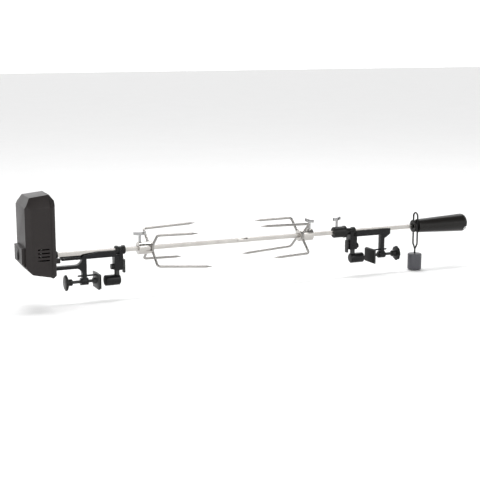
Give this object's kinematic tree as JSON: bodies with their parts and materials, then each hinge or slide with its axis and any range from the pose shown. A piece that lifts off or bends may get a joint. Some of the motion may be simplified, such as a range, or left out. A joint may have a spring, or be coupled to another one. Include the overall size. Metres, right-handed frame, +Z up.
{
  "type": "barbecue rotisserie spit kit",
  "caption": "Clamp-on barbecue rotisserie: battery gear motor box, two clamp brackets, square steel spit with forks, balance weight and handle.",
  "frame": {"origin": "centre of the left fixed jaw's clamping face, on the jaw's own axis", "axes": "+X along the spit from the motor towards the handle, +Z up, +Y to the far side"},
  "size_m": [0.9866, 0.0962, 0.2123],
  "materials": {
    "case_plastic": "charcoal ABS, fine spark texture",
    "switch_plastic": "black, satin",
    "cast_black": "black enamel over a fine cast skin",
    "black_steel": "black, satin",
    "balance_black": "black coated wire",
    "gunmetal": "dark gunmetal, semi gloss",
    "pad_rubber": "black rubber",
    "knob_plastic": "black, satin",
    "bush_plastic": "black heat resistant plastic",
    "grip_plastic": "black, semi gloss",
    "stainless": "stainless, drawn along its length",
    "chrome_plate": "bright",
    "gear_nylon": "black nylon",
    "brass": "bright",
    "zinc_steel": "zinc plated",
    "cell_wrap": "plain printed sleeve, unmarked"
  },
  "bodies": {
    "left_bracket": {"left_bracket_frame": "cast_black"},
    "left_jaw": {"left_jaw_rod": "black_steel", "left_anvil": "black_steel", "left_anvil_cap": "pad_rubber"},
    "left_plate": {"left_clamp_plate": "black_steel", "left_clamp_pad": "pad_rubber", "left_guide_pin": "black_steel"},
    "left_screw": {"left_clamp_screw": "black_steel", "left_clamp_knob": "knob_plastic"},
    "left_lock": {"left_lock_wing": "black_steel"},
    "spit": {"spit_front_section": "stainless", "spit_rear_section": "stainless", "spit_joint_stud": "stainless", "left_bush": "bush_plastic", "handle_grip": "grip_plastic", "hang_eyelet": "chrome_plate"},
    "clamp_ferrule": {"handle_ferrule": "grip_plastic"},
    "balance": {"balance_wire": "balance_black", "balance_weight": "gunmetal"},
    "left_fork": {"left_fork_collar": "stainless", "left_fork_prongs": "stainless"},
    "left_fork_thumb": {"left_fork_screw": "chrome_plate"},
    "right_fork": {"right_fork_collar": "stainless", "right_fork_prongs": "stainless"},
    "right_fork_thumb": {"right_fork_screw": "chrome_plate"},
    "right_bush": {"right_bush": "bush_plastic"},
    "bush_thumb": {"bush_thumb_screw": "chrome_plate"},
    "right_bracket": {"right_bracket_frame": "cast_black"},
    "right_jaw": {"right_jaw_rod": "black_steel", "right_anvil": "black_steel", "right_anvil_cap": "pad_rubber"},
    "right_plate": {"right_clamp_plate": "black_steel", "right_clamp_pad": "pad_rubber", "right_guide_pin": "black_steel"},
    "right_screw": {"right_clamp_screw": "black_steel", "right_clamp_knob": "knob_plastic"},
    "right_lock": {"right_lock_wing": "black_steel"},
    "motor_unit": {"motor_base": "case_plastic", "motor_cover": "case_plastic", "case_screws": "zinc_steel", "gear_axles": "zinc_steel", "gearbox_plate": "zinc_steel", "drive_motor": "zinc_steel", "battery_cells": "cell_wrap", "contact_strip": "zinc_steel", "switch_body": "switch_plastic"},
    "output_gear": {"output_gear": "bush_plastic"},
    "second_gear": {"second_gear": "gear_nylon"},
    "first_gear": {"first_gear": "gear_nylon"},
    "motor_pinion": {"motor_pinion": "brass"},
    "battery_door": {"battery_door": "case_plastic"},
    "switch_rocker": {"switch_rocker": "switch_plastic"}
  },
  "joints": [
    {"name": "left_jaw_height", "type": "slide", "parent": "left_bracket", "child": "left_jaw", "axis": [0, 0, 1], "range_m": [-0.01, 0.0035]},
    {"name": "left_plate_slide", "type": "slide", "parent": "left_bracket", "child": "left_plate", "axis": [1, 0, 0], "range_m": [-0.008, 0.01]},
    {"name": "left_screw_turn", "type": "hinge", "parent": "left_plate", "child": "left_screw", "pos_m": [-0.04, 0, 0.002], "axis": [1, 0, 0], "range_deg": [-1925, 2405]},
    {"name": "left_lock_turn", "type": "hinge", "parent": "left_bracket", "child": "left_lock", "pos_m": [0.038, 0, 0.026], "axis": [1, 0, 0], "range_deg": [0, 360]},
    {"name": "right_jaw_height", "type": "slide", "parent": "right_bracket", "child": "right_jaw", "axis": [0, 0, 1], "range_m": [-0.01, 0.0035]},
    {"name": "right_plate_slide", "type": "slide", "parent": "right_bracket", "child": "right_plate", "axis": [-1, 0, 0], "range_m": [-0.0105, 0.0125]},
    {"name": "right_screw_turn", "type": "hinge", "parent": "right_plate", "child": "right_screw", "pos_m": [0.6052, 0, 0.002], "axis": [-1, 0, 0], "range_deg": [-2525, 3005]},
    {"name": "right_lock_turn", "type": "hinge", "parent": "right_bracket", "child": "right_lock", "pos_m": [0.5272, 0, 0.026], "axis": [-1, 0, 0], "range_deg": [0, 360]},
    {"name": "spit_spin", "type": "hinge", "parent": "left_bracket", "child": "spit", "pos_m": [0.0316, 0, 0.0575], "axis": [1, 0, 0], "continuous": true},
    {"name": "ferrule_turn", "type": "hinge", "parent": "spit", "child": "clamp_ferrule", "pos_m": [0.688, 0, 0.0575], "axis": [1, 0, 0], "range_deg": [-180, 180]},
    {"name": "balance_height", "type": "slide", "parent": "clamp_ferrule", "child": "balance", "axis": [0, 0, 1], "range_m": [-0.02, 0.02]},
    {"name": "left_fork_slide", "type": "slide", "parent": "spit", "child": "left_fork", "axis": [1, 0, 0], "range_m": [-0.02, 0.04]},
    {"name": "left_fork_screw_turn", "type": "hinge", "parent": "left_fork", "child": "left_fork_thumb", "pos_m": [0.0721, 0, 0.075], "axis": [0, 0, 1], "range_deg": [0, 360]},
    {"name": "right_fork_slide", "type": "slide", "parent": "spit", "child": "right_fork", "axis": [1, 0, 0], "range_m": [-0.04, 0.02]},
    {"name": "right_fork_screw_turn", "type": "hinge", "parent": "right_fork", "child": "right_fork_thumb", "pos_m": [0.4381, 0, 0.075], "axis": [0, 0, 1], "range_deg": [0, 360]},
    {"name": "right_bracket_slide", "type": "slide", "parent": "left_bracket", "child": "right_bracket", "axis": [1, 0, 0], "range_m": [-0.025, 0.012]},
    {"name": "right_bush_slide", "type": "slide", "parent": "spit", "child": "right_bush", "axis": [1, 0, 0], "range_m": [-0.0251, 0.0121]},
    {"name": "bush_screw_turn", "type": "hinge", "parent": "right_bush", "child": "bush_thumb", "pos_m": [0.5017, 0, 0.075], "axis": [0, 0, 1], "range_deg": [0, 360]},
    {"name": "motor_pull_off", "type": "slide", "parent": "left_bracket", "child": "motor_unit", "axis": [1, 0, 0], "range_m": [-0.06, 0]},
    {"name": "output_spin", "type": "hinge", "parent": "motor_unit", "child": "output_gear", "pos_m": [-0.105, 0, 0.0575], "axis": [1, 0, 0], "continuous": true},
    {"name": "second_spin", "type": "hinge", "parent": "motor_unit", "child": "second_gear", "pos_m": [-0.111, 0.016, 0.07079], "axis": [1, 0, 0], "continuous": true},
    {"name": "first_spin", "type": "hinge", "parent": "motor_unit", "child": "first_gear", "pos_m": [-0.117, 0.01996, 0.05364], "axis": [1, 0, 0], "continuous": true},
    {"name": "pinion_spin", "type": "hinge", "parent": "motor_unit", "child": "motor_pinion", "pos_m": [-0.121, 0.00394, 0.04859], "axis": [1, 0, 0], "continuous": true},
    {"name": "battery_door_swing", "type": "hinge", "parent": "motor_unit", "child": "battery_door", "pos_m": [-0.1314, 0.04025, 0.083], "axis": [1, 0, 0], "range_deg": [-100, 0]},
    {"name": "rocker_tilt", "type": "hinge", "parent": "motor_unit", "child": "switch_rocker", "pos_m": [-0.1614, 0.003, 0.0645], "axis": [0, 1, 0], "range_deg": [-12, 0]}
  ],
  "couplings": [
    {"joint": "output_spin", "follows": "spit_spin", "ratio": 1},
    {"joint": "second_spin", "follows": "spit_spin", "ratio": -3.3333},
    {"joint": "first_spin", "follows": "spit_spin", "ratio": 8.8889},
    {"joint": "pinion_spin", "follows": "spit_spin", "ratio": -28.444},
    {"joint": "left_screw_turn", "follows": "left_plate_slide", "rad_per_m": 4188.8},
    {"joint": "right_screw_turn", "follows": "right_plate_slide", "rad_per_m": 4188.8},
    {"joint": "right_bush_slide", "follows": "right_bracket_slide", "ratio": 1}
  ]
}
